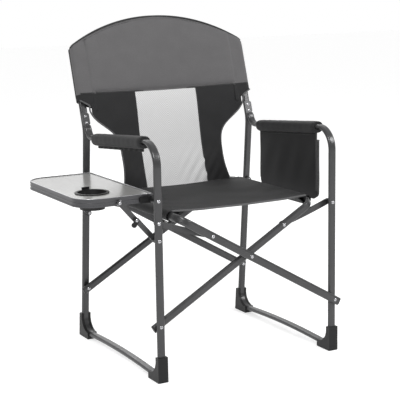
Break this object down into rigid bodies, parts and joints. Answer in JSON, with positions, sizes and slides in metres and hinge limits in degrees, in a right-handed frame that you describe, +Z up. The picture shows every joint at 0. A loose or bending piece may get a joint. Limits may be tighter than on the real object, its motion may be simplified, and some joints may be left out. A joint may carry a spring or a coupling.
{
  "type": "folding camp chair",
  "caption": "Steel-tube folding armchair with a fabric seat and back, mesh lumbar panel, fold-down side table with cup holder, and an armrest pouch.",
  "frame": {"origin": "on the floor, at the middle of the box round the open chair with its side table out", "axes": "+X towards the sitter's left, where the pouch hangs; the sitter faces -Y; +Z up from the floor"},
  "size_m": [0.7602, 0.5686, 0.9335],
  "materials": {
    "frame_tube": "fine-textured gunmetal powder coat",
    "rivets": "bright domed steel rivets",
    "black_plastic": "moulded matt black",
    "black_fabric": "woven black polyester with a coated face",
    "grey_fabric": "woven mid-grey polyester, padded",
    "mesh_fabric": "light grey open mesh",
    "table_trim": "dark grey extruded edge trim",
    "table_top": "light grey laminate on thin board"
  },
  "bodies": {
    "left_frame": {"left_side_tube": "frame_tube", "boot_front_left": "black_plastic", "boot_rear_left": "black_plastic", "left_frame_rivets": "rivets", "left_frame_bushes": "black_plastic", "left_arm_sleeve": "black_fabric", "post_cap_left": "black_plastic", "table_leg_rivets_front": "rivets", "table_leg_rivets_rear": "rivets", "stay_bush_front": "black_plastic", "stay_bush_rear": "black_plastic"},
    "inner_cross": {"inner_cross_tube": "frame_tube", "inner_cross_plugs": "black_plastic", "inner_cross_link_pins": "rivets", "crossing_rivets": "rivets", "crossing_bushes": "black_plastic"},
    "outer_cross": {"outer_cross_tube": "frame_tube", "outer_cross_plugs": "black_plastic", "outer_cross_link_pins": "rivets"},
    "right_frame": {"right_side_tube": "frame_tube", "boot_front_right": "black_plastic", "boot_rear_right": "black_plastic", "right_frame_rivets": "rivets", "right_frame_bushes": "black_plastic", "right_arm_sleeve": "black_fabric", "storage_pouch": "black_fabric", "post_cap_right": "black_plastic"},
    "left_links": {"front_left_link": "frame_tube", "rear_left_link": "frame_tube"},
    "right_links": {"front_right_link": "frame_tube", "rear_right_link": "frame_tube"},
    "seat_left": {"seat_left": "black_fabric", "seat_centre": "black_fabric"},
    "seat_right": {"seat_right": "black_fabric"},
    "back_left": {"back_upper_left": "grey_fabric", "back_lower_left": "black_fabric", "back_upper_centre": "grey_fabric", "back_mesh": "mesh_fabric"},
    "back_right": {"back_upper_right": "grey_fabric", "back_lower_right": "black_fabric"},
    "table": {"table_rim": "table_trim", "table_board": "table_top", "cup_holder": "black_plastic", "table_bracket_front": "black_plastic", "table_bracket_rear": "black_plastic", "table_rivets_front": "rivets", "table_rivets_rear": "rivets"},
    "upper_stays": {"upper_stay_front": "frame_tube", "upper_stay_rear": "frame_tube"},
    "lower_stays": {"lower_stay_front": "frame_tube", "lower_stay_rear": "frame_tube", "stay_stop_front": "black_plastic", "stay_stop_rear": "black_plastic", "knuckle_rivet_front": "rivets", "knuckle_rivet_rear": "rivets"}
  },
  "joints": [
    {"name": "fold", "type": "hinge", "parent": "left_frame", "child": "inner_cross", "pos_m": [-0.18011, 0, 0.1505], "axis": [0, -1, 0], "range_deg": [0, 40]},
    {"name": "cross", "type": "hinge", "parent": "inner_cross", "child": "outer_cross", "pos_m": [0.08989, 0, 0.30828], "axis": [0, -1, 0], "range_deg": [-80, 0]},
    {"name": "right_pivot", "type": "hinge", "parent": "outer_cross", "child": "right_frame", "pos_m": [0.35989, 0, 0.1505], "axis": [0, -1, 0], "range_deg": [0, 40]},
    {"name": "left_link_pivot", "type": "hinge", "parent": "left_frame", "child": "left_links", "pos_m": [-0.18011, 0, 0.4265], "axis": [0, -1, 0], "range_deg": [0, 86.1]},
    {"name": "right_link_pivot", "type": "hinge", "parent": "right_frame", "child": "right_links", "pos_m": [0.35989, 0, 0.4265], "axis": [0, -1, 0], "range_deg": [-86.1, 0]},
    {"name": "seat_left_fold", "type": "hinge", "parent": "outer_cross", "child": "seat_left", "pos_m": [-0.12362, 0, 0.43304], "axis": [0, -1, 0], "range_deg": [-27.02, 0], "deforming": ["seat_centre"]},
    {"name": "seat_right_fold", "type": "hinge", "parent": "inner_cross", "child": "seat_right", "pos_m": [0.30339, 0, 0.43304], "axis": [0, -1, 0], "range_deg": [0, 27.02]},
    {"name": "back_left_fold", "type": "hinge", "parent": "left_frame", "child": "back_left", "pos_m": [-0.18011, 0.18224, 0.619], "axis": [0, 0.304, 0.9527], "range_deg": [0, 67.02], "deforming": ["back_upper_centre", "back_mesh", "back_lower_left"]},
    {"name": "back_right_fold", "type": "hinge", "parent": "right_frame", "child": "back_right", "pos_m": [0.35989, 0.18224, 0.619], "axis": [0, 0.304, 0.9527], "range_deg": [-67.02, 0], "deforming": ["back_lower_right"]},
    {"name": "table_fold", "type": "hinge", "parent": "left_frame", "child": "table", "pos_m": [-0.18011, 0, 0.485], "axis": [0, -1, 0], "range_deg": [0, 90]},
    {"name": "lower_stay_pivot", "type": "hinge", "parent": "left_frame", "child": "lower_stays", "pos_m": [-0.18011, 0, 0.38], "axis": [0, -1, 0], "range_deg": [-41.53, 0]},
    {"name": "upper_stay_pivot", "type": "hinge", "parent": "table", "child": "upper_stays", "pos_m": [-0.27311, 0, 0.485], "axis": [0, -1, 0], "range_deg": [0, 48.47]}
  ],
  "couplings": [
    {"joint": "cross", "follows": "fold", "ratio": -2},
    {"joint": "right_pivot", "follows": "fold", "ratio": 1},
    {"joint": "left_link_pivot", "follows": "fold", "ratio": 2.1525},
    {"joint": "right_link_pivot", "follows": "fold", "ratio": -2.1525},
    {"joint": "seat_left_fold", "follows": "fold", "ratio": -0.67547},
    {"joint": "seat_right_fold", "follows": "fold", "ratio": 0.67547},
    {"joint": "back_left_fold", "follows": "fold", "ratio": 1.6755},
    {"joint": "back_right_fold", "follows": "fold", "ratio": -1.6755},
    {"joint": "lower_stay_pivot", "follows": "table_fold", "ratio": -0.46146},
    {"joint": "upper_stay_pivot", "follows": "table_fold", "ratio": 0.53854}
  ]
}
